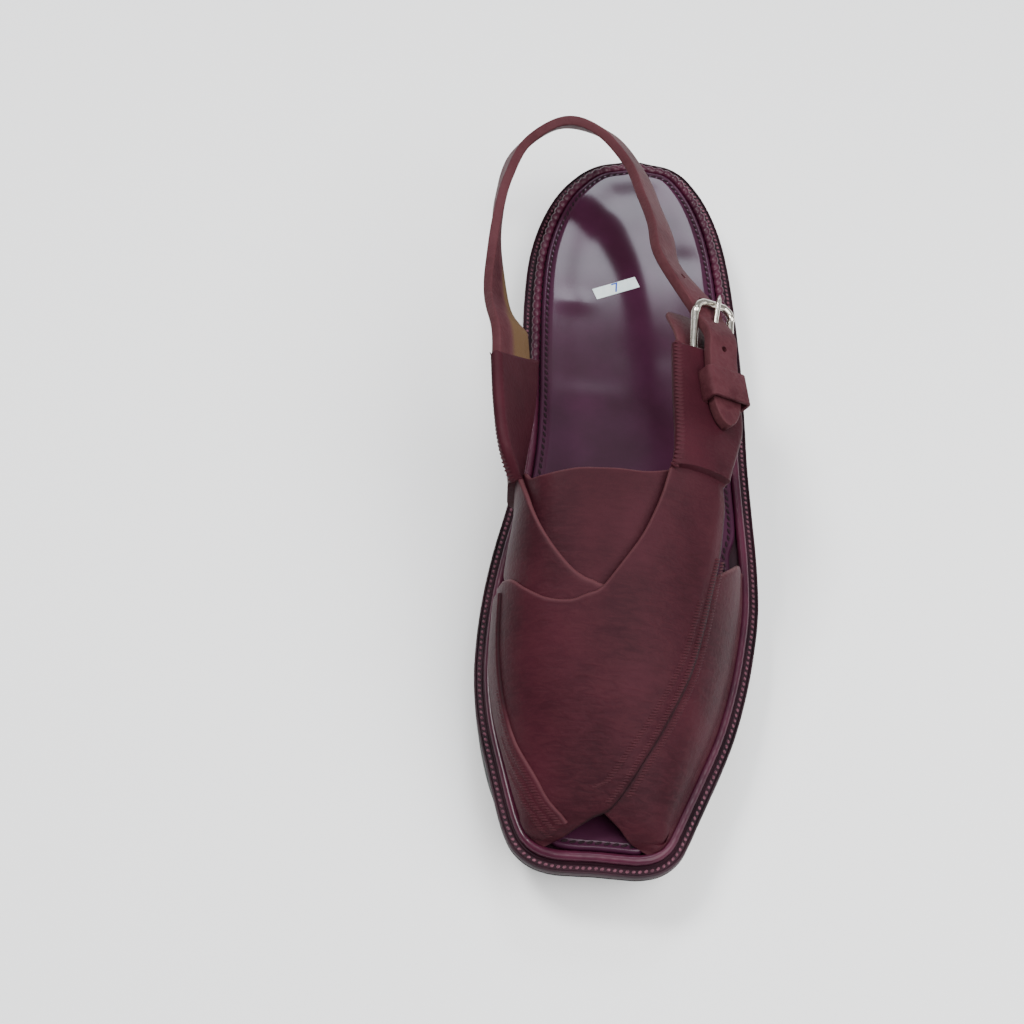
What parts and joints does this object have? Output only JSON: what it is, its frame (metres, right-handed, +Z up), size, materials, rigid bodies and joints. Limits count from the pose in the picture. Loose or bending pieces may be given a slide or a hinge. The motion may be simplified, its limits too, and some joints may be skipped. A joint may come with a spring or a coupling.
{
  "type": "peshawari chappal",
  "caption": "Left peshawari sandal with crossing vamp bands, a square toe with a small opening, a stitched welt, a thick rubber sole and a buckled heel strap.",
  "frame": {"origin": "centre of the heel's tread on the floor", "axes": "-Y towards the toe, +X towards the lateral (buckle) side of this left shoe, +Z up"},
  "size_m": [0.1008, 0.2882, 0.0771],
  "materials": {
    "outsole": "matt black rubber",
    "midsole": "dark plum welt with a stitched edge",
    "insole": "glossy plum lining leather",
    "bead": "glossy plum rolled leather",
    "upper": "satin burgundy grained leather",
    "tongue": "satin burgundy grained leather",
    "sling_strap": "satin burgundy grained leather",
    "buckle_frame": "polished nickel plate",
    "buckle_prong": "polished nickel plate",
    "keeper_loop": "satin burgundy grained leather",
    "buckle_guard": "satin burgundy grained leather"
  },
  "bodies": {
    "root": {"outsole": "outsole", "midsole": "midsole", "insole": "insole", "bead": "bead", "upper": "upper", "tongue": "tongue", "sling_strap": "sling_strap", "buckle_frame": "buckle_frame", "buckle_prong": "buckle_prong", "keeper_loop": "keeper_loop", "buckle_guard": "buckle_guard"}
  },
  "joints": []
}
